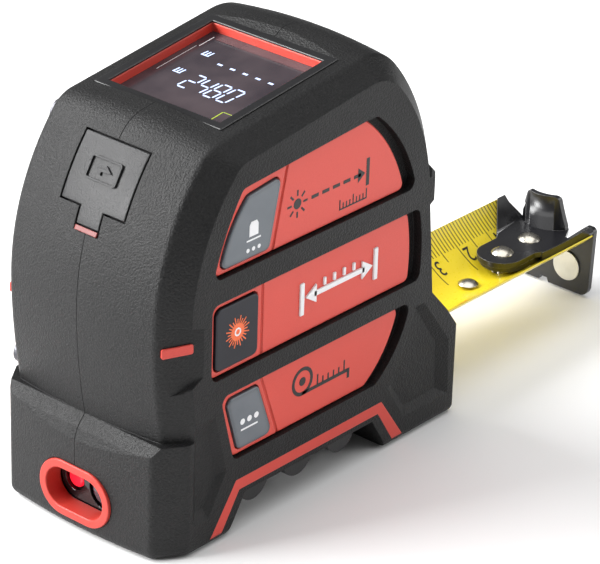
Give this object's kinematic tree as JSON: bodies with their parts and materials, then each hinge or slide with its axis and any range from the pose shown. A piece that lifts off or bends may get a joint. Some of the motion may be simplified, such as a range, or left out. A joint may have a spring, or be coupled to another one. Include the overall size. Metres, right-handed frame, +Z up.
{
  "type": "laser tape measure",
  "caption": "Pocket tape measure in a black and red case with a laser range finder, a small display, push buttons and a hooked yellow blade partly drawn out.",
  "frame": {"origin": "middle of the underside of the case's rear foot, on the plane it stands on, 34 mm behind the middle of the case", "axes": "+X the way the blade runs out, -Y the side with the buttons, +Z up"},
  "size_m": [0.1486, 0.0522, 0.0854],
  "materials": {
    "overmould": "fine-grained black overmould",
    "red_plastic": "satin red",
    "red_rubber": "satin red",
    "grip_rubber": "smooth black",
    "flap_rubber": "grained black",
    "black_plastic": "moulded black",
    "grey_button": "smoky grey",
    "display_glass": "dark window",
    "red_lens": "clear red",
    "dark_lens": "dark lens",
    "circuit_board": "solder mask",
    "battery_wrap": "foil pouch",
    "blade_yellow": "printed yellow lacquer",
    "spring_steel": "blued",
    "rivet_steel": "nickel",
    "hook_black": "gloss black",
    "steel": "plated"
  },
  "bodies": {
    "case": {"battery": "battery_wrap", "belt_clip": "hook_black", "board_chips": "black_plastic", "button_side_shell": "overmould", "case_screws": "steel", "centre_post": "black_plastic", "charging_board": "circuit_board", "clip_screw": "steel", "clip_side_shell": "overmould", "corner_accents": "red_rubber", "display_rim": "black_plastic", "display_trim": "red_plastic", "display_window": "display_glass", "emitter_lens": "red_lens", "far_panel_lower": "red_plastic", "far_panel_middle": "red_plastic", "far_panel_upper": "red_plastic", "finger_grip": "grip_rubber", "foot_stripes": "red_rubber", "laser_bezel": "red_rubber", "laser_module": "black_plastic", "lcd_module": "black_plastic", "main_board": "circuit_board", "mouth_guide": "black_plastic", "receiver_lens": "dark_lens", "side_panel_lower": "red_plastic", "side_panel_middle": "red_plastic", "side_panel_upper": "red_plastic", "tact_switches": "steel", "usb_port": "steel"},
    "reel": {"reel_drum": "black_plastic", "reel_cap": "black_plastic", "tape_coil": "blade_yellow", "power_spring": "spring_steel"},
    "blade": {"blade": "blade_yellow", "stop_rivet": "rivet_steel"},
    "hook": {"hook": "hook_black", "hook_claw": "hook_black", "hook_rivets": "rivet_steel", "hook_magnets": "rivet_steel"},
    "units_button": {"button_units": "grey_button", "plunger_units": "black_plastic"},
    "measure_button": {"button_measure": "black_plastic", "plunger_measure": "black_plastic"},
    "func_button": {"button_func": "grey_button", "plunger_func": "black_plastic"},
    "flap": {"charging_flap": "flap_rubber"},
    "lock": {"lock_button": "red_plastic", "lock_wedge": "black_plastic"}
  },
  "joints": [
    {"name": "blade_slide", "type": "slide", "parent": "case", "child": "blade", "axis": [1, 0, 0], "range_m": [-0.046, 0.01]},
    {"name": "reel_spin", "type": "hinge", "parent": "case", "child": "reel", "pos_m": [0.033, 0, 0.044], "axis": [0, 1, 0], "range_deg": [-26, 114]},
    {"name": "hook_play", "type": "slide", "parent": "blade", "child": "hook", "axis": [1, 0, 0], "range_m": [-0.0012, 0]},
    {"name": "units_press", "type": "slide", "parent": "case", "child": "units_button", "axis": [0, 1, 0], "range_m": [0, 0.0005], "stiffness_N_per_m": 1500, "springref_m": -0.0003},
    {"name": "measure_press", "type": "slide", "parent": "case", "child": "measure_button", "axis": [0, 1, 0], "range_m": [0, 0.0005], "stiffness_N_per_m": 1500, "springref_m": -0.0003},
    {"name": "func_press", "type": "slide", "parent": "case", "child": "func_button", "axis": [0, 1, 0], "range_m": [0, 0.0005], "stiffness_N_per_m": 1500, "springref_m": -0.0003},
    {"name": "flap_hinge", "type": "hinge", "parent": "case", "child": "flap", "pos_m": [0.00228, 0, 0.0761], "axis": [0, 1, 0], "range_deg": [0, 110]},
    {"name": "lock_slide", "type": "slide", "parent": "case", "child": "lock", "axis": [0.1045, 0, -0.9945], "range_m": [0, 0.005], "stiffness_N_per_m": 300, "springref_m": -0.002}
  ],
  "couplings": [
    {"joint": "reel_spin", "follows": "blade_slide", "rad_per_m": -42.735}
  ]
}
